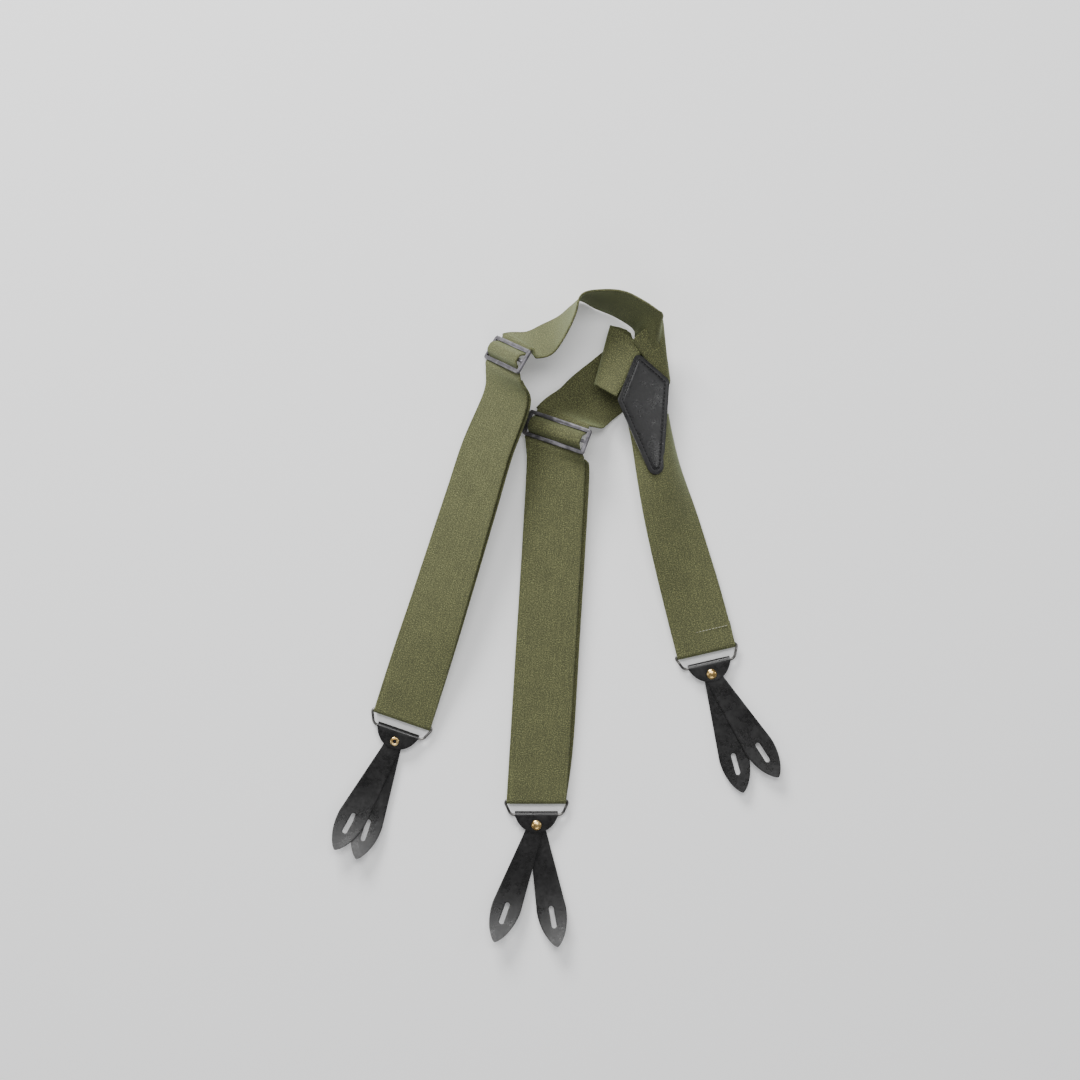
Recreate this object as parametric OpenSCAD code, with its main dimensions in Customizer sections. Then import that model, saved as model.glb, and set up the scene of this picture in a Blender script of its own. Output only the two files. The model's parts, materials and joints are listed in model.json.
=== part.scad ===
// Button-on suspenders: elastic webbing, leather yoke and ears, steel slides and wire loops.
// They lie flat, face up, on a surface at z = 0. +Y runs towards the shoulders.
// Millimetres and degrees.

/* [Webbing] */
// Width of the elastic webbing
web_w = 50; // [40:1:55]
// Thickness of the elastic webbing
web_t = 1.9; // [1.4:0.1:2.2]
// Height of the folded hem of the back strap
hem_len = 16; // [10:1:24]

/* [Slides] */
// Room in the slide beyond the width of the webbing
slide_room = 1.5; // [1:0.25:3]
// Height of the slide along the strap
slide_h = 22; // [20:1:26]
// Width of the slide's bars
slide_bar = 3.4; // [2.8:0.1:3.8]
// Depth of the slide's bars
slide_t = 2.6; // [2:0.1:3]

/* [Wire loops] */
// Diameter of the wire
wire_d = 2.2; // [1.8:0.1:2.4]
// Distance between the two straight bars of a loop
loop_h = 12.4; // [11:0.1:15]
// Bend radius at the top corners, to the middle of the wire
loop_top_r = 2.2; // [2:0.1:2.6]
// Bend radius at the bottom corners, to the middle of the wire
loop_low_r = 5; // [4:0.5:6]

/* [Leather ends] */
// Thickness of the keeper's leather
keeper_t = 1.4; // [1.1:0.1:1.6]
// Height of the half-moon keeper
keeper_h = 17.8; // [16:0.2:20]
// Thickness of the ears' leather
ear_t = 1.6; // [1.2:0.1:1.8]
// Length of an ear from its rivet to its tip
ear_len = 103; // [90:1:120]
// Widest width of an ear
ear_w = 25; // [22:0.5:28]
// Radius of an ear round its rivet
ear_top_r = 6.6; // [6:0.1:7.2]
// Length of a buttonhole
slot_len = 18.5; // [14:0.5:22]
// Width of a buttonhole
slot_w = 4; // [3:0.25:5]
// Distance from an ear's tip to the buttonhole's end
slot_to_tip = 15.5; // [13:0.5:18]

/* [Rivets] */
// Diameter of the rivet's head
rivet_head_d = 8.6; // [7:0.2:10]
// Height of the rivet's head
rivet_head_h = 1.8; // [1.4:0.1:2.2]
// Diameter of the rivet's shank
rivet_d = 3.4; // [2.8:0.1:4]

/* [Yoke] */
// Length of the leather yoke patch
yoke_len = 100; // [90:1:110]
// Width of the leather yoke patch
yoke_w = 50; // [44:1:56]
// Thickness of the yoke's leather
yoke_t = 1.6; // [1.2:0.1:1.8]

/* [Hidden] */
$fn = 48;

olive = [0.36, 0.38, 0.22];
leather = [0.10, 0.10, 0.10];
brass = [0.80, 0.66, 0.38];
gunmetal = [0.45, 0.44, 0.46];
wire = [0.22, 0.22, 0.23];

// Running clearances
wrap_gap = 0.2;   // round a wire, inside a fold of webbing
ear_gap = 0.1;    // between an ear and the ply beside it
bore_gap = 0.1;   // round a rivet's shank, in the ears
edge_gap = 0.3;   // beside the webbing, between the loop's top corners
bend_lap = 2;     // degrees that a bend runs into the rods beside it

// Stack at a leather end
keeper_in = ear_t + 2 * ear_gap;              // half of the room between the plies
keeper_out = keeper_in + keeper_t;
fold_in = wire_d / 2 + wrap_gap;
fold_out = fold_in + web_t;
rivet_foot = 1;                               // thickness of the clinched ring
end_z = rivet_head_h + max(keeper_out, fold_out);   // height of the wires above the surface
fold_w = web_w - 3;                           // the webbing pulls in a little at its fold

// Wire loop, from its top bar's middle at the origin; the ears lie towards -Y
top_half = fold_w / 2 + edge_gap;
top_turn = 115;
low_turn = 180 - top_turn;
side_drop = loop_h - loop_top_r * (1 - cos(top_turn)) - loop_low_r * (1 - cos(low_turn));
side_len = side_drop / sin(top_turn);
corner_end = [top_half + loop_top_r * sin(top_turn), -loop_top_r * (1 - cos(top_turn))];
side_end = corner_end + side_len * [cos(top_turn), -sin(top_turn)];
low_half = side_end[0] - loop_low_r * sin(low_turn);

// Keeper: a semicircle that hangs from its fold round the bottom bar
keeper_half = low_half - edge_gap;
keeper_top = -loop_h + keeper_out;
rivet_y = keeper_top - 11.5;

// Where each end lies: the middle of its loop's top bar and its turn about Z
left_end = [-130, -81, -19];
right_end = [-18, -150, 0];
back_end = [124, -24, 13];

// The ears' turn about their rivets, [outer, inner]
left_ears = [-10, 1];
right_ears = [-20, 10];
back_ears = [2, 20];

// A point of an end, as [x, y] in the whole object's frame
function end_point(e, p) = [
  e[0] + p[0] * cos(e[2]) - p[1] * sin(e[2]),
  e[1] + p[0] * sin(e[2]) + p[1] * cos(e[2])
];

// ---- Webbing: a band swept through stations [x, y, z, yaw, roll] ----
// yaw and roll turn the direction across the band, which starts along +X.
steps = 4;        // rings between two stations

function across(s) = [cos(s[4]) * cos(s[3]), cos(s[4]) * sin(s[3]), sin(s[4])];
function unit(v) = v / norm(v);
function hermite(a, b, c, d, t) =
  let (m = (c - a) / 2, n = (d - b) / 2)
  (2 * pow(t, 3) - 3 * pow(t, 2) + 1) * b + (pow(t, 3) - 2 * pow(t, 2) + t) * m
  + (3 * pow(t, 2) - 2 * pow(t, 3)) * c + (pow(t, 3) - pow(t, 2)) * n;
function station(s, i) =
  i < 0 ? 2 * s[0] - s[1] : i >= len(s) ? 2 * s[len(s) - 1] - s[len(s) - 2] : s[i];
function refine(s) = [
  for (i = [0 : len(s) - 2], k = [0 : steps - 1])
    hermite(station(s, i - 1), s[i], s[i + 1], station(s, i + 2), k / steps),
  s[len(s) - 1]
];
function place(s) = [s[0], s[1], s[2]];
function heading(r, i) = unit(place(r[min(i + 1, len(r) - 1)]) - place(r[max(i - 1, 0)]));
// The four corners of ring i. Where the rings lie askew, they are longer so that the band
// keeps its width, up to a limit for the fan at a fold.
most_askew = 0.9;
function ring(r, i, w, t) =
  let (
    h = heading(r, i),
    a = across(r[i]),
    n = unit(cross(h, a)),
    half = a * w / 2 / max(norm(cross(h, a)), most_askew),
    c = place(r[i])
  )
  [c - half - n * t / 2, c + half - n * t / 2, c + half + n * t / 2, c - half + n * t / 2];

module band(stations, w, t) {
  r = refine(stations);
  n = len(r);
  points = [for (i = [0 : n - 1]) each ring(r, i, w, t)];
  sides = [
    for (i = [0 : n - 2], k = [0 : 3])
      let (a = 4 * i + k, b = 4 * i + (k + 1) % 4)
      each [[a, b + 4, b], [a, a + 4, b + 4]]
  ];
  e = 4 * n - 4;
  caps = [[0, 1, 2], [0, 2, 3], [e, e + 2, e + 1], [e, e + 3, e + 2]];
  polyhedron(points, concat(sides, caps), convexity = 6);
}

// ---- Slides, which lie at [x, y, z, yaw, roll] ----
frame_w = web_w + 2 * (slide_room + slide_bar);

// A point of a slide's own frame, in the whole object's frame
function slide_point(s, p) =
  let (
    x = p[0] * cos(s[4]) - p[2] * sin(s[4]),
    z = p[0] * sin(s[4]) + p[2] * cos(s[4])
  )
  [s[0] + x * cos(s[3]) - p[1] * sin(s[3]), s[1] + x * sin(s[3]) + p[1] * cos(s[3]), s[2] + z];
function slide_station(s, y, z) = concat(slide_point(s, [0, y, z]), [s[3], s[4]]);

// Webbing inside a slide, as heights above the slide's middle
bar_r = 1.5;                                 // the round centre bar
loop_in = bar_r + wrap_gap;
loop_out = loop_in + web_t;
hump_z = loop_out + web_t / 2 + 0.1;         // over the centre bar
front_z = -slide_t / 2 - wrap_gap - web_t / 2;   // under the outer bars
return_z = front_z - web_t - 3;            // the sewn end, behind the front layer
leave_y = slide_h / 2 + 3;                   // where the webbing leaves the slide
// Height of a slide's middle that keeps its frame and its webbing just off the surface
function slide_rest(roll) = 0.5 + max(
  frame_w / 2 * sin(roll) + slide_t / 2 * cos(roll),
  web_w / 2 * sin(roll) + (web_t / 2 - return_z) * cos(roll)
);
left_at = [-42, 222, slide_rest(56), -30, 56];
right_at = [-1, 158, slide_rest(24), -20, 24];

// ---- Routes of the webbing, by hand ----
layer_gap = 2 * fold_in + web_t;   // between the middles of the two layers
top_z = end_z + layer_gap / 2;
low_z = end_z - layer_gap / 2;
// A station whose lower edge is base above the surface
function lying(x, y, base, yaw, roll) =
  [x, y, base + web_w / 2 * abs(sin(roll)), yaw, roll];
function fold_station(e, z) = concat(end_point(e, [0, 0.5]), [z, e[2], 0]);

left_route = [
  slide_station(left_at, -leave_y, front_z),
  lying(-47, 186, 7.5, -20, 38),
  lying(-60, 144, 7.5, -18, 34),
  lying(-73, 102, 7.5, -18, 30),
  lying(-99, 18, 7.2, -18, 20),
  lying(-115, -33, 7, -18, 9),
  fold_station(left_end, top_z)
];
right_route = [
  slide_station(right_at, -leave_y, front_z),
  lying(-2, 118, 8.5, -8, 14),
  lying(-5, 68, 7, -4, 9),
  lying(-10, -16, 7, -3, 5),
  lying(-15, -100, 6.7, -1, 2),
  fold_station(right_end, top_z)
];
// The return layer follows the front layer, behind it and a little to its right
function behind(r, i, shift) =
  let (n = unit(cross(heading(r, i), across(r[i]))), q = place(r[i]) - layer_gap * n)
  [q[0] + shift, q[1], q[2], r[i][3], r[i][4]];
function return_route(r, at, e, shift) = concat(
  [slide_station(at, -leave_y, return_z)],
  [for (i = [1 : len(r) - 2]) behind(r, i, shift)],
  [fold_station(e, low_z)]
);

left_shoulder_route = [
  slide_station(left_at, leave_y, front_z),
  lying(-23, 230, 2.3, -67, 58),
  lying(-9, 235, 2, -75, 55),
  lying(3, 245, 1.5, -81, 64),
  lying(13, 259, 1.7, -82, 76),
  lying(19, 269, 1.5, -88, 90),
  lying(33, 268, 1.6, -107, 103),
  lying(51, 264, 1.7, -112, 111),
  lying(69, 254, 3.2, -116, 114),
  lying(75, 245, 5.3, -128, 122),
  lying(79, 233, 7.3, -112, 138),
  lying(84.5, 226, 7.5, -93, 154),
  lying(90, 224.5, 8.3, -83, 162),
  lying(86.5, 223, 12.2, -76, 163),
  lying(82.5, 218, 9.6, -64, 162),
  lying(79, 213.5, 8.4, -55, 163)
];
right_shoulder_route = [
  slide_station(right_at, leave_y, front_z),
  lying(18, 177, 3.5, -36, 8),
  lying(29, 187, 2.1, -48, 2),
  lying(44, 199, 1.5, -50, 0),
  lying(56, 208.5, 1.5, -60, 0),
  lying(64, 213, 2, -72, 0),
  lying(67.5, 214.5, 5, -75, 0),
  lying(64, 216, 8, -78, 0),
  lying(54, 219, 9, -90, 0),
  lying(44, 222, 9.5, -100, 0),
  lying(37.5, 222, 13.3, -105, 4),
  lying(43, 219, 17.5, -112, 8),
  lying(56, 210.5, 18.9, -118, 13),
  lying(60, 208, 17.5, -119, 15)
];
back_route = [
  lying(72, 172, 9.9, 10, -25),
  lying(78, 150, 8.2, 12, -27),
  lying(86, 118, 6.7, 14, -27),
  lying(99, 68, 3.9, 14, -20),
  lying(113, 18, 5, 13, -7),
  fold_station(back_end, top_z)
];
// Middle of the yoke patch, its turn and its tilt
yoke_at = lying(74, 172, 14.3, 9, -25);

// ---- Parts ----
module shoulder_web(route) {
  color(olive) band(route, web_w, web_t);
}

// A fold of webbing round a loop's top bar
module fold_shape() {
  rotate([0, 90, 0]) difference() {
    cylinder(r = fold_out, h = fold_w, center = true);
    cylinder(r = fold_in, h = fold_w + 2, center = true);
    translate([-fold_out - 1, 0, -fold_w]) cube([2 * fold_out + 2, fold_out + 1, 2 * fold_w]);
  }
}
module at_end(e) translate([e[0], e[1], end_z]) rotate([0, 0, e[2]]) children();
module fold(e) {
  color(olive) at_end(e) fold_shape();
}
// The back strap's hem: the fold and the ply that is sewn down behind
module back_hem() {
  color(olive) at_end(back_end) {
    fold_shape();
    translate([-fold_w / 2, 0, -fold_out]) cube([fold_w, hem_len, web_t]);
  }
}

// Three-bar slide, flat at the origin, its window bars across X
module slide_shape() {
  difference() {
    linear_extrude(slide_t, center = true) offset(r = 1.5) square([frame_w - 3, slide_h - 3], center = true);
    linear_extrude(slide_t + 2, center = true)
      square([frame_w - 2 * slide_bar, slide_h - 2 * slide_bar], center = true);
  }
  rotate([0, 90, 0]) cylinder(r = bar_r, h = frame_w - 2 * slide_bar + 0.4, center = true);
}
module at_slide(s) translate([s[0], s[1], s[2]]) rotate([0, 0, s[3]]) rotate([0, -s[4], 0]) children();
module slide(s) {
  color(gunmetal) at_slide(s) slide_shape();
}
// The hump over the centre bar, and the sewn end round that bar
module slide_web(s) {
  window = slide_h / 2 - slide_bar;
  under_y = window + 0.4;                 // below the outer bar
  rise_y = window - web_t / 2 - 1.05;     // through the window
  over_y = loop_out + 0.2;                // beside the sewn end
  end_y = leave_y - 1.5;
  hump = [
    [0, end_y, front_z, 0, 0],
    [0, under_y, front_z, 0, 0],
    [0, rise_y, -0.8, 0, 0],
    [0, over_y, loop_out - 0.2, 0, 0],
    [0, 0, hump_z, 0, 0],
    [0, -over_y, loop_out - 0.2, 0, 0],
    [0, -rise_y, -0.8, 0, 0],
    [0, -under_y, front_z, 0, 0],
    [0, -end_y, front_z, 0, 0]
  ];
  color(olive) at_slide(s) {
    band(hump, web_w, web_t);
    rotate([0, 90, 0]) difference() {
      cylinder(r = loop_out, h = web_w, center = true);
      cylinder(r = loop_in, h = web_w + 2, center = true);
    }
  }
}

// Wire loop: two straight bars joined by bent sides
// A bend is a hair thinner than the rods, and its ends sit inside theirs
module bend(r, turn) rotate([0, 0, -bend_lap]) rotate_extrude(angle = turn + 2 * bend_lap, $fn = 64)
  translate([r, 0]) circle(d = wire_d - 0.06, $fn = 32);
module rod(length) rotate([0, 90, 0]) cylinder(d = wire_d, h = length, $fn = 32);
module loop_side() {
  translate([top_half, -loop_top_r]) rotate([0, 0, 90 - top_turn]) bend(loop_top_r, top_turn);
  translate(corner_end) rotate([0, 0, -top_turn]) rod(side_len);
  translate([low_half, loop_low_r - loop_h]) rotate([0, 0, -90]) bend(loop_low_r, low_turn);
}
module loop(e) {
  color(wire) at_end(e) {
    translate([-top_half, 0]) rod(2 * top_half);
    translate([-low_half, -loop_h]) rod(2 * low_half);
    loop_side();
    mirror([1, 0, 0]) loop_side();
  }
}

// Half-moon keeper: leather folded round the loop's low bar
module keeper(e) {
  color(leather) at_end(e) difference() {
    intersection() {
      union() {
        translate([0, -loop_h]) rotate([0, 90, 0])
          cylinder(r = keeper_out, h = 2 * keeper_half, center = true);
        translate([-keeper_half, -loop_h - keeper_h, -keeper_out])
          cube([2 * keeper_half, keeper_h, 2 * keeper_out]);
      }
      translate([0, keeper_top]) cylinder(r = keeper_h, h = 4 * keeper_out, center = true);
    }
    translate([0, -loop_h]) rotate([0, 90, 0])
      cylinder(r = keeper_in, h = 3 * keeper_half, center = true);
    translate([-2 * keeper_half, -loop_h - 2 * keeper_h, -keeper_in])
      cube([4 * keeper_half, 2 * keeper_h, 2 * keeper_in]);
    translate([0, rivet_y]) cylinder(d = rivet_d + bore_gap, h = 4 * keeper_out, center = true);
  }
}

// Tubular rivet: domed head, shank, and a clinched ring on the other side
module rivet_shape() {
  dome_r = (pow(rivet_head_d / 2, 2) + pow(rivet_head_h, 2)) / (2 * rivet_head_h);
  rotate_extrude() {
    translate([0, -keeper_out - rivet_foot]) difference() {
      square([rivet_d / 2, 2 * keeper_out + rivet_foot + 0.2]);
      square([rivet_d / 4, 3]);
    }
    translate([rivet_d / 4, -keeper_out - rivet_foot])
      square([rivet_head_d * 0.44 - rivet_d / 4, rivet_foot]);
    intersection() {
      translate([0, keeper_out + rivet_head_h - dome_r]) circle(r = dome_r, $fn = 96);
      translate([0, keeper_out]) square([rivet_head_d / 2, rivet_head_h]);
    }
  }
}
module rivet(e, turn) {
  color(brass) at_end(e) translate([0, rivet_y]) rotate([turn, 0, 0]) rivet_shape();
}

// Ear: a leg from its rivet to a pointed tip, with a buttonhole
point_len = ear_len * 0.3;
point_r = (pow(ear_w / 2, 2) + pow(point_len, 2)) / ear_w;
slot_low = slot_to_tip - ear_len + slot_w / 2;
slot_high = slot_low + slot_len - slot_w;
module ear_outline() {
  wide_y = point_len - ear_len;
  difference() {
    union() {
      circle(r = ear_top_r);
      polygon([[-ear_top_r, 0], [-ear_w / 2, wide_y], [ear_w / 2, wide_y], [ear_top_r, 0]]);
      intersection() {
        translate([ear_w / 2 - point_r, wide_y]) circle(r = point_r, $fn = 128);
        translate([point_r - ear_w / 2, wide_y]) circle(r = point_r, $fn = 128);
        translate([-ear_w, -ear_len]) square([2 * ear_w, point_len]);
      }
    }
    circle(d = rivet_d + 2 * bore_gap);
    for (y = [slot_low, slot_high]) translate([0, y]) circle(d = slot_w);
    translate([-slot_w / 2, slot_low]) square([slot_w, slot_high - slot_low]);
  }
}
module ear(e, turn, side) {
  color(leather) at_end(e) translate([0, rivet_y, side * (ear_gap + ear_t / 2)])
    rotate([0, 0, turn]) linear_extrude(ear_t, center = true) ear_outline();
}

// Yoke: a rounded kite, its point towards -Y and its left corner the lower one
module kite(length, width, t) {
  linear_extrude(t, center = true) hull() {
    translate([0, length / 2 - 5]) circle(r = 5, $fn = 32);
    for (side = [-1, 1]) translate([side * (width / 2 - 3), (0.2 + 0.05 * side) * length])
      circle(r = 3, $fn = 32);
    translate([0, 7.5 - length / 2]) circle(r = 7.5, $fn = 32);
  }
}
module yoke_patch() color(leather) at_slide(yoke_at) kite(yoke_len, yoke_w, yoke_t);
module yoke_backing() {
  color(leather) at_slide(yoke_at) translate([0, -0.06 * yoke_len, -yoke_t - 2 * web_t - 2])
    kite(0.6 * yoke_len, 0.6 * yoke_w, yoke_t);
}

yoke_patch();
yoke_backing();
shoulder_web(left_shoulder_route);  // left_shoulder_web
shoulder_web(right_shoulder_route);  // right_shoulder_web
shoulder_web(back_route);  // back_web
back_hem();

slide(left_at);  // left_slide
slide_web(left_at);  // left_slide_web
shoulder_web(left_route);  // left_front_web
shoulder_web(return_route(left_route, left_at, left_end, 0));  // left_return_web
fold(left_end);  // left_fold
loop(left_end);  // left_loop
keeper(left_end);  // left_keeper
rivet(left_end, 180);  // left_rivet
ear(left_end, left_ears[0], 1);  // left_ear_outer
ear(left_end, left_ears[1], -1);  // left_ear_inner

slide(right_at);  // right_slide
slide_web(right_at);  // right_slide_web
shoulder_web(right_route);  // right_front_web
shoulder_web(return_route(right_route, right_at, right_end, 3));  // right_return_web
fold(right_end);  // right_fold
loop(right_end);  // right_loop
keeper(right_end);  // right_keeper
rivet(right_end, 0);  // right_rivet
ear(right_end, right_ears[0], 1);  // right_ear_outer
ear(right_end, right_ears[1], -1);  // right_ear_inner

loop(back_end);  // back_loop
keeper(back_end);  // back_keeper
rivet(back_end, 0);  // back_rivet
ear(back_end, back_ears[1], 1);  // back_ear_outer
ear(back_end, back_ears[0], -1);  // back_ear_inner
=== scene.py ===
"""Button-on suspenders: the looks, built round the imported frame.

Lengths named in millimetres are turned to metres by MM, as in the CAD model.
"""
import json
import math

import bmesh
import bpy
import numpy as np
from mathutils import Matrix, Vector

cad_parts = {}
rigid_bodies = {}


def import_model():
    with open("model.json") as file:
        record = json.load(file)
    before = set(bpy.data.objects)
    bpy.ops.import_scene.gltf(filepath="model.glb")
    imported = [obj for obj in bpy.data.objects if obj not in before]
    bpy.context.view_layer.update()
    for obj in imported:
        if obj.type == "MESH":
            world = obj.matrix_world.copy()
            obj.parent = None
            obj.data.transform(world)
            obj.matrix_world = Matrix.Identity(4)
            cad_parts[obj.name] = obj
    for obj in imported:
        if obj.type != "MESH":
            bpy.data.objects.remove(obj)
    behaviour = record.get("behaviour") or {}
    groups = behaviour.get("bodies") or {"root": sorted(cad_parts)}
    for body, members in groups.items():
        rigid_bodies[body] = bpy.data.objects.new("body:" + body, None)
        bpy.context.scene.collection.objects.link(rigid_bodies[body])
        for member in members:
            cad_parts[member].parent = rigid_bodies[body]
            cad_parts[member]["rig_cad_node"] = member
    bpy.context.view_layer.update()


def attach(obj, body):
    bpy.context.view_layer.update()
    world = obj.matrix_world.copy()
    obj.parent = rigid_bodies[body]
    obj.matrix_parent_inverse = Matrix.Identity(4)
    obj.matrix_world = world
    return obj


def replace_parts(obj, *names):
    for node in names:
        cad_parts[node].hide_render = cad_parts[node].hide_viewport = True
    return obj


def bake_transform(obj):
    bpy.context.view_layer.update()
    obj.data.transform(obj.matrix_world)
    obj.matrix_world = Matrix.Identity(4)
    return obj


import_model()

MM = 0.001

# ---- Sizes, as in the CAD model ----
WEB_W, WEB_T, HEM = 50.0, 1.9, 16.0
SLIDE_W, SLIDE_H, SLIDE_BAR, SLIDE_T = 59.8, 22.0, 3.4, 2.6
WIRE_R, LOOP_H, TOP_R, LOW_R = 1.1, 12.4, 2.2, 5.0
KEEPER_T, KEEPER_H, EAR_T = 1.4, 17.8, 1.6
EAR_LEN, EAR_W, EAR_TOP_R = 103.0, 25.0, 6.6
SLOT_LEN, SLOT_W, SLOT_TO_TIP = 18.5, 4.0, 15.5
RIVET_D, HEAD_D, HEAD_H, FOOT = 3.4, 8.6, 1.8, 1.0
YOKE_LEN, YOKE_W, YOKE_T = 100.0, 50.0, 1.6
WRAP_GAP, EAR_GAP, EDGE_GAP = 0.2, 0.1, 0.3

KEEPER_IN = EAR_T + 2 * EAR_GAP
KEEPER_OUT = KEEPER_IN + KEEPER_T
FOLD_MID = WIRE_R + WRAP_GAP + WEB_T / 2
END_Z = HEAD_H + KEEPER_OUT
TOP_Z, LOW_Z = END_Z + FOLD_MID, END_Z - FOLD_MID
LAYER_GAP = 2 * FOLD_MID
FOLD_W = WEB_W - 3
TOP_HALF = FOLD_W / 2 + EDGE_GAP
BAR_R = 1.5
FRONT_Z = -SLIDE_T / 2 - WRAP_GAP - WEB_T / 2
RETURN_Z = FRONT_Z - WEB_T - 3
HUMP_Z = BAR_R + WRAP_GAP + WEB_T * 1.5 + 0.1
LEAVE_Y = SLIDE_H / 2 + 3
KEEPER_TOP = -LOOP_H + KEEPER_OUT
RIVET_Y = KEEPER_TOP - 11.5

LEFT_END, RIGHT_END, BACK_END = (-130, -81, -19), (-18, -150, 0), (124, -24, 13)
LEFT_AT, RIGHT_AT = (-42, 222, 26, -30, 56), (-1, 158, 18.2, -20, 24)
YOKE_AT = (74, 172, 24.9, 9, -25)
EARS = {"left": (-10, 1), "right": (-20, 10), "back": (20, 2)}
ENDS = {"left": LEFT_END, "right": RIGHT_END, "back": BACK_END}


# ---- Places ----
def rotated(x, y, degrees):
    c, s = math.cos(math.radians(degrees)), math.sin(math.radians(degrees))
    return x * c - y * s, x * s + y * c


def on_slide(at, p):
    """A point of a slide's frame, or the yoke's, in the object's frame, in millimetres."""
    x, z = rotated(p[0], p[2], at[4])
    x, y = rotated(x, p[1], at[3])
    return np.array([at[0] + x, at[1] + y, at[2] + z])


def on_end(end, p):
    x, y = rotated(p[0], p[1], end[2])
    return np.array([end[0] + x, end[1] + y, END_Z + p[2]])


# ---- Routes of the webbing ----
# Stations of x, y, z, yaw, roll and curl. They follow the CAD model's, with the curl added and the
# stations beside the slides, at the folds and under the patch moved a little for a softer drape.
def slide_station(at, y, z, x=0, flatter=0):
    return [*on_slide(at, (x, y, z)), at[3], at[4] - flatter, 0]


def fold_station(end, z):
    x, y = rotated(0, 0.5, end[2])
    return [end[0] + x, end[1] + y, z, end[2], 0, 0]


def lying(x, y, base, yaw, roll, curl=0):
    return [x, y, base + WEB_W / 2 * abs(math.sin(math.radians(roll))), yaw, roll, curl]


LEFT_ROUTE = [
    slide_station(LEFT_AT, -LEAVE_Y, FRONT_Z, 3, 5),
    lying(-43.5, 187, 7.5, -22, 40),
    lying(-60, 144, 7.5, -18, 34),
    lying(-73, 102, 7.5, -18, 30),
    lying(-99, 18, 7.2, -18, 20),
    lying(-115, -33, 7, -18, 9),
    fold_station(LEFT_END, TOP_Z),
]
RIGHT_ROUTE = [
    slide_station(RIGHT_AT, -LEAVE_Y, FRONT_Z, 2.2, 7),
    lying(-2, 128, 8.5, -9, 13),
    lying(-5, 68, 7, -4, 9),
    lying(-10, -16, 7, -3, 5),
    lying(-15, -100, 6.7, -1, 2),
    fold_station(RIGHT_END, TOP_Z),
]
LEFT_SHOULDER = [
    slide_station(LEFT_AT, LEAVE_Y, FRONT_Z),
    lying(-23, 230, 2.3, -67, 58),
    lying(-9, 235, 2, -75, 55),
    lying(3, 245, 1.5, -81, 64),
    lying(13, 259, 1.7, -82, 76),
    lying(19, 269, 1.5, -88, 90),
    lying(33, 268, 1.6, -107, 103),
    lying(51, 264, 1.7, -112, 111),
    lying(67.5, 254.5, 3.2, -116, 114),
    lying(73.5, 246, 5.3, -128, 122),
    lying(79, 233, 7.3, -112, 138),
    lying(84.5, 226, 7.5, -93, 154),
    lying(90, 224.5, 8.3, -83, 162),
    lying(86.5, 223, 12.2, -76, 163),
    lying(81, 218.5, 9.6, -64, 162),
    lying(76.5, 213, 8.4, -55, 163),
]
RIGHT_SHOULDER = [
    slide_station(RIGHT_AT, LEAVE_Y, FRONT_Z),
    lying(18, 177, 3.5, -36, 8),
    lying(29, 187, 2.1, -48, 2),
    lying(44, 199, 1.5, -50, 0),
    lying(56, 208.5, 1.5, -60, 0),
    lying(64, 213, 2, -72, 0),
    lying(67.5, 214.5, 5, -75, 0),
    lying(64, 216, 8, -78, 0),
    lying(54, 219, 9, -90, 0),
    lying(44, 222, 9.5, -100, 0),
    lying(37.5, 222, 13.3, -105, 4),
    lying(43, 219, 17.5, -112, 8),
    lying(56, 210.5, 18.9, -118, 13),
    lying(60, 208, 17.5, -119, 15),
]
BACK_ROUTE = [
    lying(80.5, 172, 10.9, 10, -25, 1.2),
    lying(85, 150, 10.2, 12, -27, 1.15),
    lying(90.5, 118, 8.9, 14, -27, 0.85),
    lying(100, 68, 3.9, 14, -20, 0.15),
    lying(113, 18, 5, 13, -7),
    fold_station(BACK_END, TOP_Z),
]


def across(s):
    yaw, roll = math.radians(s[3]), math.radians(s[4])
    flat = math.cos(roll)
    return np.array([flat * math.cos(yaw), flat * math.sin(yaw), math.sin(roll)])


def hermite(a, b, c, d, t):
    m, n = (c - a) / 2, (d - b) / 2
    return (
        (2 * t**3 - 3 * t**2 + 1) * b
        + (t**3 - 2 * t**2 + t) * m
        + (3 * t**2 - 2 * t**3) * c
        + (t**3 - t**2) * n
    )


def refine(stations, step=3.0):
    """Stations every few millimetres on the smooth curve through the given ones."""
    s = [np.array(v, float) for v in stations]
    s = [2 * s[0] - s[1], *s, 2 * s[-1] - s[-2]]
    fine = []
    for i in range(1, len(s) - 2):
        n = max(4, int(np.linalg.norm(s[i + 1][:3] - s[i][:3]) / step))
        fine += [hermite(s[i - 1], s[i], s[i + 1], s[i + 2], k / n) for k in range(n)]
    return [*fine, s[-2]]


def behind(stations, shift):
    """The return layer's stations, behind those of the front layer."""
    out = []
    for i in range(1, len(stations) - 1):
        s = stations[i]
        h = np.array(stations[i + 1][:3]) - np.array(stations[i - 1][:3])
        n = np.cross(h / np.linalg.norm(h), across(s))
        q = np.array(s[:3]) - LAYER_GAP * n / np.linalg.norm(n)
        out.append([q[0] + shift, q[1], q[2], s[3], s[4], 0])
    return out


# ---- Meshes ----
def mesh_piece(name, points, faces, material, smooth=True):
    mesh = bpy.data.meshes.new(name)
    mesh.from_pydata([tuple(p) for p in np.asarray(points, float) * MM], [], faces)
    mesh.materials.append(material)
    mesh.polygons.foreach_set("use_smooth", [smooth] * len(mesh.polygons))
    mesh.update()
    piece = bpy.data.objects.new(name, mesh)
    bpy.context.scene.collection.objects.link(piece)
    return piece


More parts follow.
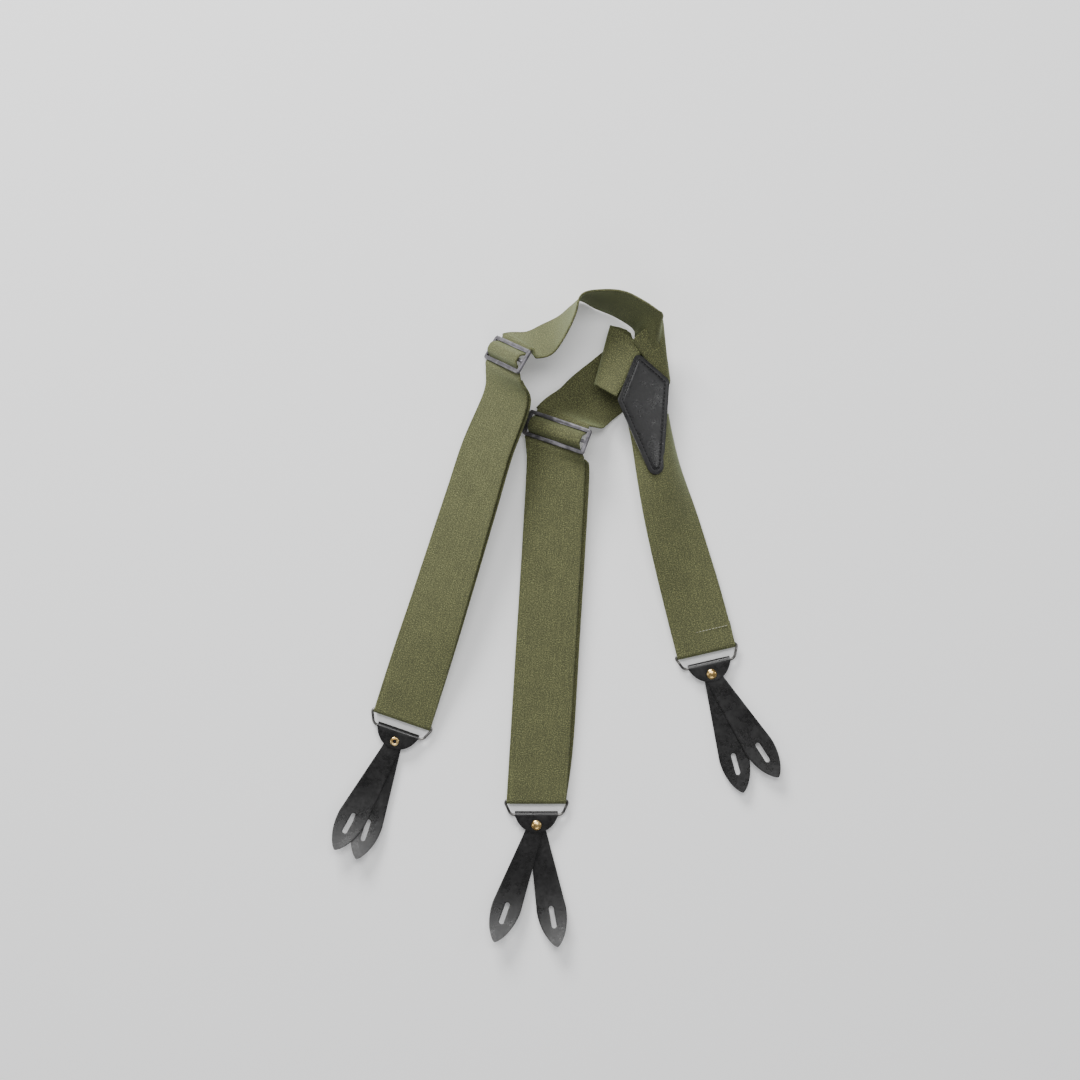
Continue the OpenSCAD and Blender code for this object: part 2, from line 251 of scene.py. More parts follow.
def grid_faces(rows, columns, wrap_rows=False, wrap_columns=False):
    """Quads over a grid of points that is stored row by row."""
    faces = []
    for i in range(rows if wrap_rows else rows - 1):
        for j in range(columns if wrap_columns else columns - 1):
            a, b = i * columns + j, i * columns + (j + 1) % columns
            c, d = (i + 1) % rows * columns + (j + 1) % columns, (i + 1) % rows * columns + j
            faces.append((a, b, c, d))
    return faces


def modify(piece, kind, **values):
    modifier = piece.modifiers.new(kind.title(), kind)
    for key, value in values.items():
        setattr(modifier, key, value)
    return modifier


def tidy_normals(piece):
    edit = bmesh.new()
    edit.from_mesh(piece.data)
    bmesh.ops.remove_doubles(edit, verts=edit.verts, dist=1e-6)
    bmesh.ops.recalc_face_normals(edit, faces=edit.faces)
    edit.to_mesh(piece.data)
    edit.free()


def web_section():
    """The webbing's section as (across, height) round its outline, with a line beside each edge."""
    r = WEB_T / 2
    edge = WEB_W / 2
    xs = [0, 3, 6, 9, 12, 15, 18, 20.5, 22, 22.8, 23.1, 23.4, 23.8]
    dip = {22.8: 0.04, 23.1: 0.16, 23.4: 0.04}
    top = [(x, r - dip.get(x, 0)) for x in xs]
    bow = [(edge - r + r * math.sin(a), r * math.cos(a)) for a in np.radians([15, 45, 70, 90])]
    quarter = top + bow
    right = quarter + [(x, -h) for x, h in reversed(quarter[:-1])]
    return right + [(-x, h) for x, h in reversed(right[1:-1])]


def webbing(name, stations, material):
    """A band of webbing through refined stations. Returns the piece and its length in mm.

    Where a station has a curl, the band's edges bend down round an arc of that half-angle.
    """
    section = web_section()
    n = len(stations)
    centres = np.array([s[:3] for s in stations])
    points, coordinates = [], []
    travelled = 0.0
    for i, s in enumerate(stations):
        h = centres[min(i + 1, n - 1)] - centres[max(i - 1, 0)]
        h /= np.linalg.norm(h)
        a = across(s)
        c = np.cross(h, a)
        up = c / np.linalg.norm(c)
        bend = s[5] / (WEB_W / 2)
        a = a / max(np.linalg.norm(c), 0.9)
        if i:
            travelled += np.linalg.norm(centres[i] - centres[i - 1])
        for x, height in section:
            wide, drop = x, 0.0
            if bend > 1e-4:
                wide, drop = math.sin(x * bend) / bend, (1 - math.cos(x * bend)) / bend
            points.append(centres[i] + a * wide + up * (height - drop))
            coordinates.append((x * MM, travelled * MM, height * MM))
    k = len(section)
    faces = grid_faces(n, k, wrap_columns=True)
    faces += [tuple(range(k)), tuple(range((n - 1) * k, n * k))]
    piece = mesh_piece(name, points, faces, material)
    mark = piece.data.attributes.new("cloth", "FLOAT_VECTOR", "POINT")
    mark.data.foreach_set("vector", np.array(coordinates).ravel())
    edit = bmesh.new()
    edit.from_mesh(piece.data)
    bmesh.ops.recalc_face_normals(edit, faces=edit.faces)
    edit.to_mesh(piece.data)
    edit.free()
    return piece, travelled


def swept(path, section):
    """A section swept round a closed path; section is (sideways, up) pairs, up is +Z."""
    path = np.asarray(path, float)
    n, k = len(path), len(section)
    points = []
    for i in range(n):
        h = path[(i + 1) % n] - path[i - 1]
        h /= np.linalg.norm(h)
        side = np.array([h[1], -h[0], 0])
        for a, b in section:
            points.append(path[i] + side * a + np.array([0, 0, b]))
    return points, grid_faces(n, k, wrap_rows=True, wrap_columns=True)


def circle_section(r, count=14):
    turns = np.linspace(0, 2 * math.pi, count, endpoint=False)
    return [(r * math.cos(t), r * math.sin(t)) for t in turns]


def rounded_section(width, height, r, count=4):
    """A rounded rectangle's outline, from its lower right corner."""
    out = []
    for cx, cy, start in ((1, -1, -90), (1, 1, 0), (-1, 1, 90), (-1, -1, 180)):
        for t in np.radians(np.linspace(start, start + 90, count)):
            out.append((cx * (width / 2 - r) + r * math.cos(t), cy * (height / 2 - r) + r * math.sin(t)))
    return out


def lathe(profile, count=48):
    turns = np.linspace(0, 2 * math.pi, count, endpoint=False)
    points = [(r * math.cos(t), r * math.sin(t), z) for t in turns for r, z in profile]
    return points, grid_faces(count, len(profile), wrap_rows=True)


def stitches(name, places, material, radius=0.32):
    """Thread stitches; each place is (middle, direction, up, length), in millimetres."""
    points, faces = [], []
    rings = [(-0.5, 0.25), (-0.42, 0.75), (-0.2, 1), (0.2, 1), (0.42, 0.75), (0.5, 0.25)]
    for middle, direction, up, length in places:
        direction, up = np.array(direction, float), np.array(up, float)
        direction /= np.linalg.norm(direction)
        up /= np.linalg.norm(up)
        side = np.cross(direction, up)
        base = len(points)
        for along, thick in rings:
            sink = 0.3 * radius * (2 * along) ** 4
            for t in np.linspace(0, 2 * math.pi, 8, endpoint=False):
                offset = side * math.cos(t) * radius * thick + up * math.sin(t) * radius * thick
                points.append(middle + direction * along * length + offset - up * sink)
        faces += [tuple(base + v for v in f) for f in grid_faces(len(rings), 8, wrap_columns=True)]
        last = base + 8 * (len(rings) - 1)
        faces += [tuple(range(base, base + 8)), tuple(range(last, last + 8))]
    piece = mesh_piece(name, points, faces, material)
    tidy_normals(piece)
    return piece


# ---- Materials ----
def shade(name, base, roughness, metallic=0.0, **values):
    """A node material; returns it with a function that adds nodes to its tree."""
    material = bpy.data.materials.new(name)
    material.use_nodes = True
    tree = material.node_tree
    shader = tree.nodes["Principled BSDF"]
    shader.inputs["Base Color"].default_value = (*base, 1)
    shader.inputs["Roughness"].default_value = roughness
    shader.inputs["Metallic"].default_value = metallic
    for key, value in values.items():
        shader.inputs[key.replace("_", " ")].default_value = value

    def add(kind, *links, **settings):
        """Adds a node. links are (socket, value or source socket) pairs."""
        node = tree.nodes.new("ShaderNode" + kind)
        for key, value in settings.items():
            setattr(node, key, value)
        for key, source in links:
            if isinstance(source, bpy.types.NodeSocket):
                tree.links.new(source, node.inputs[key])
            else:
                node.inputs[key].default_value = source
        return node

    def join(source, key):
        tree.links.new(source, shader.inputs[key])

    return material, add, join


def ramp(add, source, *stops):
    node = add("ValToRGB", ("Fac", source))
    points = node.color_ramp.elements
    while len(points) < len(stops):
        points.new(0.5)
    for point, (where, colour) in zip(points, stops):
        point.position = where
        point.color = (*colour, 1) if len(colour) == 3 else (colour[0],) * 3 + (1,)
    return node.outputs["Color"]


def maths(add, operation, a, b=0.0):
    return add("Math", (0, a), (1, b), operation=operation).outputs[0]


def webbing_material():
    """Elastic webbing: fine crosswise ribs, warp threads, lengthwise streaks and a mottled yarn colour."""
    material, add, join = shade(
        "webbing", (0.1, 0.1, 0.05), 0.85, Sheen_Weight=0.35, Sheen_Roughness=0.45
    )
    material.node_tree.nodes["Principled BSDF"].inputs["Sheen Tint"].default_value = (0.62, 0.74, 0.4, 1)
    cloth = add("Attribute", attribute_name="cloth").outputs["Vector"]
    parts = add("SeparateXYZ", (0, cloth)).outputs
    rib = maths(add, "SINE", maths(add, "MULTIPLY", parts["Y"], 2 * math.pi / 0.00092))
    warp = maths(add, "SINE", maths(add, "MULTIPLY", parts["X"], 2 * math.pi / 0.0011))
    weave = maths(add, "ADD", rib, maths(add, "MULTIPLY", warp, 0.5))
    yarn = add("TexNoise", ("Vector", cloth), ("Scale", 1150.0), ("Detail", 2.0)).outputs["Fac"]
    mottle = add("TexNoise", ("Vector", cloth), ("Scale", 60.0), ("Detail", 4.0)).outputs["Fac"]
    streak_at = add("VectorMath", (0, cloth), (1, (900.0, 30.0, 1.0)), operation="MULTIPLY").outputs[0]
    streak = add("TexNoise", ("Vector", streak_at), ("Scale", 1.0), ("Detail", 2.0)).outputs["Fac"]
    tone = maths(add, "ADD", maths(add, "MULTIPLY", yarn, 0.85), maths(add, "MULTIPLY", weave, 0.04))
    tone = maths(add, "ADD", tone, maths(add, "MULTIPLY", mottle, 0.08))
    tone = maths(add, "ADD", tone, maths(add, "MULTIPLY", streak, 0.12))
    colour = ramp(
        add, tone,
        (0.27, (0.018, 0.0195, 0.007)), (0.46, (0.053, 0.0555, 0.0205)),
        (0.56, (0.084, 0.087, 0.033)), (0.75, (0.225, 0.238, 0.094)),
    )
    join(colour, "Base Color")
    height = maths(add, "ADD", maths(add, "MULTIPLY", weave, 0.35), yarn)
    bump = add("Bump", ("Height", height), ("Distance", 0.0003), ("Strength", 0.55))
    join(bump.outputs["Normal"], "Normal")
    return material


def leather_material(name, base, shine, worn):
    """Smooth black leather: a fine grain, soft creases and rubbed patches."""
    material, add, join = shade(name, base, shine)
    place = add("TexCoord").outputs["Object"]
    cells = add("TexVoronoi", ("Vector", place), ("Scale", 1500.0), feature="DISTANCE_TO_EDGE")
    grain = cells.outputs["Distance"]
    cloud = add(
        "TexNoise", ("Vector", place), ("Scale", 90.0), ("Detail", 6.0), ("Roughness", 0.62)
    ).outputs["Fac"]
    fine = add(
        "TexNoise", ("Vector", place), ("Scale", 420.0), ("Detail", 5.0), ("Roughness", 0.7)
    ).outputs["Fac"]
    mixed = maths(add, "ADD", maths(add, "MULTIPLY", cloud, 0.6), maths(add, "MULTIPLY", fine, 0.4))
    colour = ramp(
        add, mixed,
        (0.35, [v * 0.75 for v in base]), (0.52, base), (0.72, [v * worn for v in base]),
    )
    join(colour, "Base Color")
    rough = ramp(add, mixed, (0.35, (shine - 0.1,)), (0.7, (shine + 0.18,)))
    join(rough, "Roughness")
    height = maths(add, "ADD", maths(add, "MULTIPLY", grain, 0.8), maths(add, "MULTIPLY", mixed, 1.6))
    bump = add("Bump", ("Height", height), ("Distance", 0.00025), ("Strength", 0.3))
    join(bump.outputs["Normal"], "Normal")
    return material


def metal_material(name, base, roughness, bright, metallic=1.0):
    """Plated metal with faint stains, fine scratches and brighter rubbed edges."""
    material, add, join = shade(name, base, roughness, metallic)
    place = add("TexCoord").outputs["Object"]
    stain = add("TexNoise", ("Vector", place), ("Scale", 160.0), ("Detail", 5.0)).outputs["Fac"]
    rub = maths(add, "MULTIPLY", maths(add, "SUBTRACT", add("NewGeometry").outputs["Pointiness"], 0.5), 4.0)
    mixed = maths(add, "ADD", stain, rub)
    colour = ramp(add, mixed, (0.35, [v * 0.7 for v in base]), (0.55, base), (0.8, bright))
    join(colour, "Base Color")
    rough = ramp(add, stain, (0.3, (roughness - 0.06,)), (0.7, (roughness + 0.1,)))
    join(rough, "Roughness")
    stretched = add("VectorMath", (0, place), (1, (2500.0, 180.0, 180.0)), operation="MULTIPLY").outputs[0]
    scratch = add("TexNoise", ("Vector", stretched), ("Scale", 1.0), ("Detail", 2.0)).outputs["Fac"]
    bump = add("Bump", ("Height", scratch), ("Distance", 0.0001), ("Strength", 0.2))
    join(bump.outputs["Normal"], "Normal")
    return material


def thread_material(name, base, sheen=0.2):
    material, add, join = shade(name, base, 0.9 - sheen, Sheen_Weight=sheen)
    place = add("TexCoord").outputs["Object"]
    ply = add("TexWave", ("Vector", place), ("Scale", 900.0), ("Distortion", 2.0), bands_direction="DIAGONAL")
    colour = ramp(add, ply.outputs["Fac"], (0.2, [v * 0.6 for v in base]), (0.7, base))
    join(colour, "Base Color")
    bump = add("Bump", ("Height", ply.outputs["Fac"]), ("Distance", 0.0002), ("Strength", 0.4))
    join(bump.outputs["Normal"], "Normal")
    return material


WEBBING = webbing_material()
LEATHER = leather_material("leather", (0.007, 0.0066, 0.0066), 0.3, 2.2)
PATCH = leather_material("patch_leather", (0.0145, 0.0143, 0.0146), 0.3, 1.7)
GUNMETAL = metal_material("gunmetal", (0.10, 0.096, 0.105), 0.48, (0.22, 0.21, 0.23), 0.7)
WIRE = metal_material("wire", (0.075, 0.073, 0.07), 0.34, (0.26, 0.25, 0.24), 0.9)
BRASS = metal_material("brass", (0.72, 0.47, 0.17), 0.24, (0.9, 0.68, 0.33))
LIGHT_THREAD = thread_material("light_thread", (0.42, 0.42, 0.30))
BLACK_THREAD = thread_material("black_thread", (0.0025, 0.0025, 0.003), 0.0)


# ---- Webbing ----
HUMP = [
    (LEAVE_Y, FRONT_Z), (9.5, FRONT_Z), (7.4, -1.9), (5.8, 0.6), (4.2, 3.2), (2.2, 4.5), (0, HUMP_Z),
    (-2.2, 4.5), (-4.2, 3.2), (-5.8, 0.6), (-7.4, -1.9), (-9.5, FRONT_Z), (-LEAVE_Y, FRONT_Z),
]


def turn_round_wire(end, reach=0.5):
    """Stations round the loop's top bar, from the front layer to the one behind."""
    out = [(reach, TOP_Z - END_Z)]
    for t in np.radians(np.arange(0, 181, 15)):
        out.append((-FOLD_MID * math.sin(t), FOLD_MID * math.cos(t)))
    out.append((reach, LOW_Z - END_Z))
    return [[*on_end(end, (0, y, z)), end[2], 0, 0] for y, z in out]


def strap(side, at, end, route, shift):
    """One front strap: the hump in the slide, the front layer, its fold and the layer behind."""
    hump = [slide_station(at, y, z) for y, z in HUMP[:-1]]
    hump = refine([*hump, route[0]], 1.2)
    front = refine(route)
    fold = turn_round_wire(end)
    back = [slide_station(at, -LEAVE_Y, RETURN_Z, 4), *behind(route, shift), fold_station(end, LOW_Z)]
    back = refine(back)[::-1]
    stations = [*hump, *front[1:-1], *fold, *back[1:]]
    piece, length = webbing(side + "_strap", stations, WEBBING)
    low, high = on_end(end, (0, 14, 0)) * MM, np.array(at[:3]) * MM
    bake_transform(piece)
    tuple(high)
    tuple(low)
    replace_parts(piece, *(side + part for part in ("_slide_web", "_front_web", "_return_web", "_fold")))
    return piece


def shoulder(side, stations, part, start=None):
    """A length of a shoulder web; with start it is baked in place and left unparented, without it goes with
    the yoke.
    """
    piece, length = webbing(side + "_shoulder" + part, refine(stations, 1.8), WEBBING)
    if start:
        at = {"left": LEFT_AT, "right": RIGHT_AT}[side]
        on_slide(at, (0, LEAVE_Y, 0)) * MM
        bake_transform(piece)
    else:
        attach(piece, "yoke")
    return piece


strap("left", LEFT_AT, LEFT_END, LEFT_ROUTE, 0)
strap("right", RIGHT_AT, RIGHT_END, RIGHT_ROUTE, 3)
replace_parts(shoulder("left", LEFT_SHOULDER, "", (60, 260, 24)), "left_shoulder_web")
lower = RIGHT_SHOULDER[:6]
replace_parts(shoulder("right", lower, "_low", (62, 212, 2)), "right_shoulder_web")
shoulder("right", RIGHT_SHOULDER[5:], "_top")

back_stations = refine(BACK_ROUTE) + turn_round_wire(BACK_END)[1:-1]
hem = [(3, -2.3), (8, -1.4), (13, -0.3), (HEM, 0.1), (HEM + 3, 0.2)]
back_stations += [[*on_end(BACK_END, (0, y, z)), BACK_END[2], 0, 0] for y, z in hem]
back, back_length = webbing("back_strap", back_stations, WEBBING)
np.array(BACK_ROUTE[1][:3]) * MM
on_end(BACK_END, (0, HEM + 4, 0)) * MM
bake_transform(back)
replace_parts(back, "back_web", "back_hem")

row = []
for k in range(16):
    x = -20.6 + 2.75 * k
    middle = on_end(BACK_END, (x, HEM, TOP_Z - END_Z + 1.0))
    row.append((middle, (*rotated(1, 0, BACK_END[2]), 0), (0, 0, 1), 2.1))
for k in range(3):
    x = -20.6 + 2.6 * k
    middle = on_end(BACK_END, (x, HEM - 1.1, TOP_Z - END_Z + 1.05))
    row.append((middle, (*rotated(1, 0.1, BACK_END[2]), 0), (0, 0, 1), 2.4))
hem_stitches = stitches("hem_stitches", row, LIGHT_THREAD, 0.3)
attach(hem_stitches, "back_end")


# ---- Slides ----
def round_corners(width, height, r, count=8):
    out = []
    for cx, cy, start in ((1, -1, -90), (1, 1, 0), (-1, 1, 90), (-1, -1, 180)):
        for t in np.radians(np.linspace(start, start + 90, count)):
            x, y = cx * (width / 2 - r) + r * math.cos(t), cy * (height / 2 - r) + r * math.sin(t)
            out.append((x, y, 0))
    return out


def slide(side, at):
    middle = round_corners(SLIDE_W - SLIDE_BAR, SLIDE_H - SLIDE_BAR, 0.9)
    points, faces = swept(middle, rounded_section(SLIDE_BAR, SLIDE_T, 0.8))
    piece = mesh_piece(side + "_slide_frame", [on_slide(at, p) for p in points], faces, GUNMETAL)
    tidy_normals(piece)
    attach(piece, side + "_slide")
    half = (SLIDE_W - 2 * SLIDE_BAR) / 2 + 0.6
    ends = ((-half, 0), (-half, BAR_R), (half, BAR_R), (half, 0))
    turned, bar_faces = lathe([(r, z) for z, r in ends], 24)
    bar_points = [on_slide(at, (z, y, x)) for x, y, z in turned]
    bar = mesh_piece(side + "_slide_bar", bar_points, bar_faces, GUNMETAL)
    tidy_normals(bar)
    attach(bar, side + "_slide")
    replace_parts(piece, side + "_slide")


slide("left", LEFT_AT)
slide("right", RIGHT_AT)


# ---- Leather ends ----
def loop_path():
    """The wire's centreline, counter-clockwise from the low bar's left end."""
    turn = math.radians(115)
    drop = LOOP_H - TOP_R * (1 - math.cos(turn)) - LOW_R * (1 + math.cos(turn))
    slope = drop / math.sin(turn)
    corner = (TOP_HALF + TOP_R * math.sin(turn), -TOP_R * (1 - math.cos(turn)))
    side_end = (corner[0] + slope * math.cos(turn), corner[1] - slope * math.sin(turn))
    low_half = side_end[0] - LOW_R * math.sin(turn)
    right = []
    for t in np.linspace(-90, -25, 9):
        a = math.radians(t)
        right.append((low_half + LOW_R * math.cos(a), LOW_R - LOOP_H + LOW_R * math.sin(a)))
    for t in np.linspace(-25, 90, 14):
        a = math.radians(t)
        right.append((TOP_HALF + TOP_R * math.cos(a), -TOP_R + TOP_R * math.sin(a)))
    return [(x, y, 0) for x, y in right] + [(-x, y, 0) for x, y in reversed(right)], low_half


def plate(name, outline, rows, columns, thickness, material, shape, bevel=0.35):
    """A leather plate: outline(y, side) gives (inner, outer) half-widths; shape(x, y) the middle's place."""
    points, faces = [], []
    for sign in (-1, 1):
        base = len(points)
        for y in rows:
            inner, outer = outline(y, sign)
            for k in range(columns + 1):
                points.append(shape(sign * (inner + (outer - inner) * k / columns), y))
        faces += [tuple(base + v for v in f) for f in grid_faces(len(rows), columns + 1)]
    piece = mesh_piece(name, points, faces, material)
    edit = bmesh.new()
    edit.from_mesh(piece.data)
    bmesh.ops.remove_doubles(edit, verts=edit.verts, dist=2e-6)
    bmesh.ops.recalc_face_normals(edit, faces=edit.faces)
    if sum(f.normal.z for f in edit.faces) < 0:
        bmesh.ops.reverse_faces(edit, faces=edit.faces)
    edit.to_mesh(piece.data)
    edit.free()
    modify(piece, "SOLIDIFY", thickness=thickness * MM, offset=0, use_even_offset=True)
    modify(piece, "BEVEL", width=bevel * MM, segments=3, limit_method="ANGLE", angle_limit=math.radians(50))
    return piece


POINT_LEN = EAR_LEN * 0.3
WIDE_Y = POINT_LEN - EAR_LEN
SLOT_LOW = SLOT_TO_TIP - EAR_LEN


def ear_outline(y, side):
    """Inner and outer half-width at y: the slot and the edge. Both sides are alike."""
    if y > 0:
        outer = math.sqrt(max(EAR_TOP_R**2 - y**2, 0.01))
    elif y > WIDE_Y:
        outer = EAR_TOP_R + (EAR_W / 2 - EAR_TOP_R) * y / WIDE_Y
    else:
        outer = EAR_W / 2 * max(1 - ((WIDE_Y - y) / POINT_LEN) ** 2, 0) ** 0.72
    inner = 0.0
    r = SLOT_W / 2
    low, high = SLOT_LOW + r, SLOT_LOW + SLOT_LEN - r
    off = low - y if y < low else max(y - high, 0)
    if off < r:
        inner = math.sqrt(r * r - off * off)
    return inner, max(outer, 0.2)


def ear_rows():
    r = SLOT_W / 2
    low, high = SLOT_LOW + r, SLOT_LOW + SLOT_LEN - r
    rows = [EAR_TOP_R * math.sin(t) for t in np.radians(np.arange(88, 0, -8))]
    rows += list(np.arange(0, high + r + 1, -2.5))
    rows += [high + r * math.sin(t) for t in np.radians(np.arange(90, -1, -11.25))]
    rows += list(np.linspace(high, low, 8))[1:-1]
    rows += [low - r * math.sin(t) for t in np.radians(np.arange(0, 91, 11.25))]
    rows += list(np.linspace(SLOT_LOW - 1, -EAR_LEN + 3, 8))
    rows += [-EAR_LEN + k for k in (2.2, 1.5, 1.0, 0.6, 0.3, 0.1, 0.02)]
    return sorted(set(np.round(rows, 4)), reverse=True)


def ear(side, name, turn, layer, lift, cup):
    end = ENDS[side]

    def shape(x, y):
        u = max(0, (-y - EAR_LEN * 0.45) / (EAR_LEN * 0.55))
        cupped = cup * (x / EAR_W * 2) ** 2 * min(1, -min(y, 0) / 40)
        z = layer * (EAR_GAP + EAR_T / 2) + lift * u * u + cupped
        px, py = rotated(x, y, turn)
        return on_end(end, (px, py + RIVET_Y, z))

    piece = plate(f"{side}_{name}_leather", ear_outline, ear_rows(), 7, EAR_T, LEATHER, shape)
    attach(piece, f"{side}_{name}")
    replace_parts(piece, f"{side}_{name}")
    return piece


def keeper(side, low_half):
    """Leather folded round the loop's low bar; both plies are half-moons."""
    half = low_half - EDGE_GAP
    mid = (KEEPER_IN + KEEPER_OUT) / 2
    points = []
    columns = [half * math.sin(math.radians(a)) for a in np.linspace(-90, 90, 41)]
    for x in columns:
        reach = -KEEPER_TOP - LOOP_H + math.sqrt(max(KEEPER_H**2 - x * x, 0.3))
        reach = max(reach, 0.4)
        path = [(-LOOP_H - reach * k / 10, mid - 0.25 * (k / 10) ** 2) for k in range(10, 0, -1)]
        path += [(-LOOP_H + mid * math.sin(t), mid * math.cos(t)) for t in np.radians(np.arange(0, 181, 15))]
        path += [(-LOOP_H - reach * k / 10, -mid + 0.25 * (k / 10) ** 2) for k in range(1, 11)]
        for y, z in path:
            near = math.exp(-((math.hypot(x, y - RIVET_Y) / 5.5) ** 4))
            points.append(on_end(ENDS[side], (x, y, z - math.copysign(0.25, z) * near)))
    faces = grid_faces(len(columns), len(points) // len(columns))
    piece = mesh_piece(side + "_keeper_leather", points, faces, LEATHER)
    tidy_normals(piece)
    modify(piece, "SOLIDIFY", thickness=KEEPER_T * MM, offset=0, use_even_offset=True)
    modify(piece, "BEVEL", width=0.3 * MM, segments=3, limit_method="ANGLE", angle_limit=math.radians(50))
    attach(piece, side + "_keeper")
    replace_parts(piece, side + "_keeper")


def rivet(side, face):
    """A tubular rivet: a low dome on one side, a clinched ring on the other."""
    r, top = HEAD_D / 2, KEEPER_OUT
    dome = [(0.02, top + HEAD_H), (r * 0.3, top + HEAD_H - 0.08), (r * 0.55, top + HEAD_H - 0.3)]
    dome += [(r * 0.78, top + HEAD_H - 0.7), (r * 0.93, top + 0.62), (r, top + 0.3), (r * 0.97, top + 0.02)]
    shank = [(RIVET_D / 2, top), (RIVET_D / 2, -top)]
    ring = HEAD_D * 0.44
    clinch = [(ring * 0.95, -top - 0.02), (ring, -top - 0.35), (ring * 0.92, -top - 0.75)]
    clinch += [(ring * 0.74, -top - FOOT), (ring * 0.56, -top - 0.92), (ring * 0.45, -top - 0.55)]
    clinch += [(ring * 0.4, -top + 1.2), (0.02, -top + 1.4)]
    points, faces = lathe(dome + shank + clinch, 56)
    place = [on_end(ENDS[side], (x, y * face + RIVET_Y, z * face)) for x, y, z in points]
    piece = mesh_piece(side + "_rivet_brass", place, faces, BRASS)
    tidy_normals(piece)
    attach(piece, side + "_keeper")
    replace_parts(piece, side + "_rivet")


wire_path, LOW_HALF = loop_path()
LIFT = {"left": (8, 8.5), "right": (9.5, 8.5), "back": (3, 2.5)}
for side in ENDS:
    points, faces = swept(wire_path, circle_section(WIRE_R))
    wire = mesh_piece(side + "_wire", [on_end(ENDS[side], p) for p in points], faces, WIRE)
    tidy_normals(wire)
    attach(wire, side + "_loop")
    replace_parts(wire, side + "_loop")
    keeper(side, LOW_HALF)
    rivet(side, -1 if side == "left" else 1)
    outer_lift, inner_lift = LIFT[side]
    ear(side, "ear_outer", EARS[side][0], 1, outer_lift, 0.35)
    ear(side, "ear_inner", EARS[side][1], -1, inner_lift, -0.3)


# ---- Yoke ----
def kite_edge(circles):
    """Distance of the edge from the middle line at y, for the hull of circles (x, y, radius)."""
    turns = np.linspace(-math.pi / 2, math.pi / 2, 40)
    rim = [(x + r * math.cos(t), y + r * math.sin(t)) for x, y, r in circles for t in turns]
    rim.sort(key=lambda p: p[1])
    hull = []
    for p in rim:
        while len(hull) > 1:
            (ax, ay), (bx, by) = hull[-2:]
            if (bx - ax) * (p[1] - ay) - (by - ay) * (p[0] - ax) > 1e-9:
                break
            hull.pop()
        hull.append(p)
    ys, xs = [p[1] for p in hull], [p[0] for p in hull]
    return lambda y: float(np.interp(y, ys, xs))


HALF = YOKE_LEN / 2
SEAM = 4.0
STITCH_PITCH, STITCH_LEN, THREAD_RISE = 3.1, 2.3, 0.16
CORNER_Y = {side: (0.2 + 0.05 * side) * YOKE_LEN for side in (-1, 1)}
edge = {
    side: kite_edge([(0, HALF - 5, 5), (YOKE_W / 2 - 3, CORNER_Y[side], 3), (0, 7.5 - HALF, 7.5)])
    for side in (-1, 1)
}
seam_edge = {
    side: kite_edge([(0, HALF - 6, 2), (YOKE_W / 2 - 5, CORNER_Y[side], 1), (0, 7.5 - HALF, 3.5)])
    for side in (-1, 1)
}
rim_y = np.linspace(-HALF, HALF, 400)
rim_x = {side: np.array([edge[side](y) for y in rim_y]) for side in (-1, 1)}


def patch_lift(x, y):
    """A soft crown, pressed down along the seam."""
    inside = float(np.min(np.hypot(rim_x[1 if x > 0 else -1] - abs(x), rim_y - y)))
    crown = 1.1 * (1 - math.exp(-max(inside, 0) / 5))
    return crown - 0.4 * math.exp(-(((inside - SEAM) / 0.8) ** 2))


turns = np.linspace(0, math.pi, 90)
patch_rows = [(HALF - 0.05) * math.cos(t) for t in turns]
patch = plate(
    "patch_leather", lambda y, side: (0.0, max(edge[side](y), 0.2)), patch_rows, 26, YOKE_T, PATCH,
    lambda x, y: on_slide(YOKE_AT, (x, y, patch_lift(x, y))), 0.45,
)
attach(patch, "yoke")
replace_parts(patch, "yoke_patch")

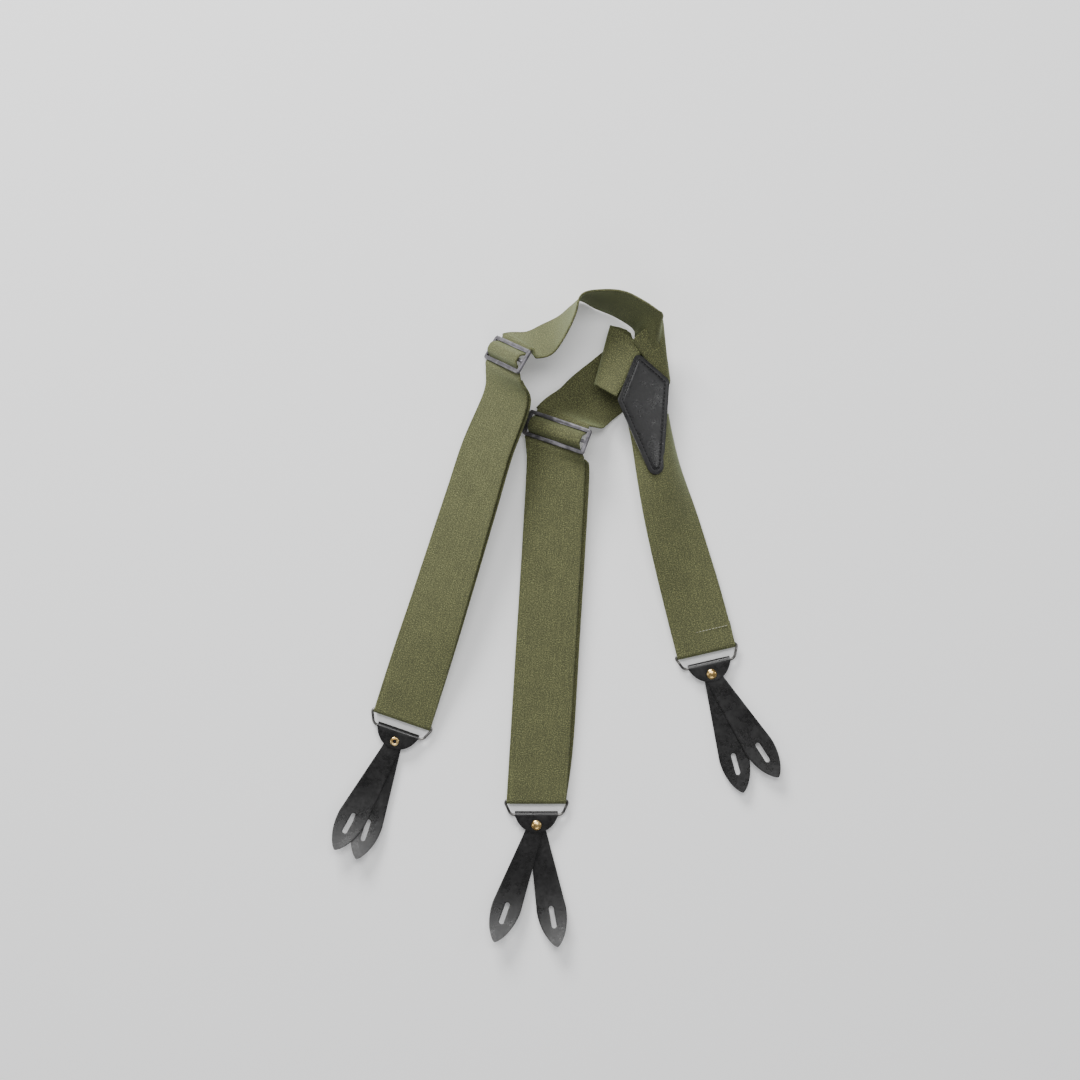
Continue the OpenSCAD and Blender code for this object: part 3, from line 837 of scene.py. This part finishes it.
ys = np.linspace(SEAM - HALF, HALF - SEAM, 400)
outline = [(seam_edge[1](y), y) for y in ys] + [(-seam_edge[-1](y), y) for y in ys[::-1]]
seam_places, travelled = [], 0.0
for (ax, ay), (bx, by) in zip(outline, outline[1:] + outline[:1]):
    gap = math.hypot(bx - ax, by - ay)
    travelled += gap
    if travelled > STITCH_PITCH and gap > 0:
        travelled = 0.0
        ends = [
            on_slide(YOKE_AT, (x, y, patch_lift(x, y) + YOKE_T / 2 + THREAD_RISE))
            for x, y in ((ax, ay), (bx, by))
        ]
        up = on_slide(YOKE_AT, (0, 0, 1)) - np.array(YOKE_AT[:3])
        seam_places.append((ends[0], ends[1] - ends[0], up, STITCH_LEN))
seam = stitches("patch_stitches", seam_places, BLACK_THREAD, 0.42)
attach(seam, "yoke")

for o in bpy.data.objects:
    if o.get("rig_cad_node") == "yoke_backing":
        o.data.materials.clear()
        o.data.materials.append(LEATHER)


# ---- Stage, camera and lights ----
floor_mat, _, _ = shade("floor", (0.9, 0.9, 0.9), 0.9, Emission_Strength=0.16)
bpy.ops.mesh.primitive_plane_add(size=30, location=(0, 0, 0))
floor = bpy.context.object
floor.name = "floor"
floor.data.materials.append(floor_mat)

CAMERA_H = 2.2
camera_data = bpy.data.cameras.new("camera")
camera_data.sensor_fit = "HORIZONTAL"
camera_data.angle = 2 * math.atan(0.4536 / CAMERA_H)
camera = bpy.data.objects.new("camera", camera_data)
camera.location = (-15 * MM, 68 * MM, CAMERA_H)
bpy.context.scene.collection.objects.link(camera)
bpy.context.scene.camera = camera


def area_light(name, place, target, size, power):
    data = bpy.data.lights.new(name, "AREA")
    data.shape = "RECTANGLE"
    data.size, data.size_y = size
    data.energy = power
    light = bpy.data.objects.new(name, data)
    light.location = place
    light.rotation_euler = (Vector(target) - Vector(place)).to_track_quat("-Z", "Y").to_euler()
    bpy.context.scene.collection.objects.link(light)


area_light("key", (-0.9, 2.3, 1.3), (0, 0.05, 0), (1.3, 0.9), 96)
area_light("top", (0.0, 0.98, 2.5), (0, -0.1, 0), (1.8, 0.8), 40)
area_light("left", (-2.2, -0.2, 1.8), (0, 0, 0), (1.0, 1.2), 8)
area_light("side", (2.2, 0.5, 1.3), (0, 0.1, 0), (0.4, 0.8), 5)
area_light("fill", (0.3, -2.2, 2.2), (0, 0, 0), (1.6, 1.0), 12)

world = bpy.data.worlds.new("studio")
world.use_nodes = True
world.node_tree.nodes["Background"].inputs["Color"].default_value = (0.9, 0.92, 0.95, 1)
world.node_tree.nodes["Background"].inputs["Strength"].default_value = 0.24
bpy.context.scene.world = world
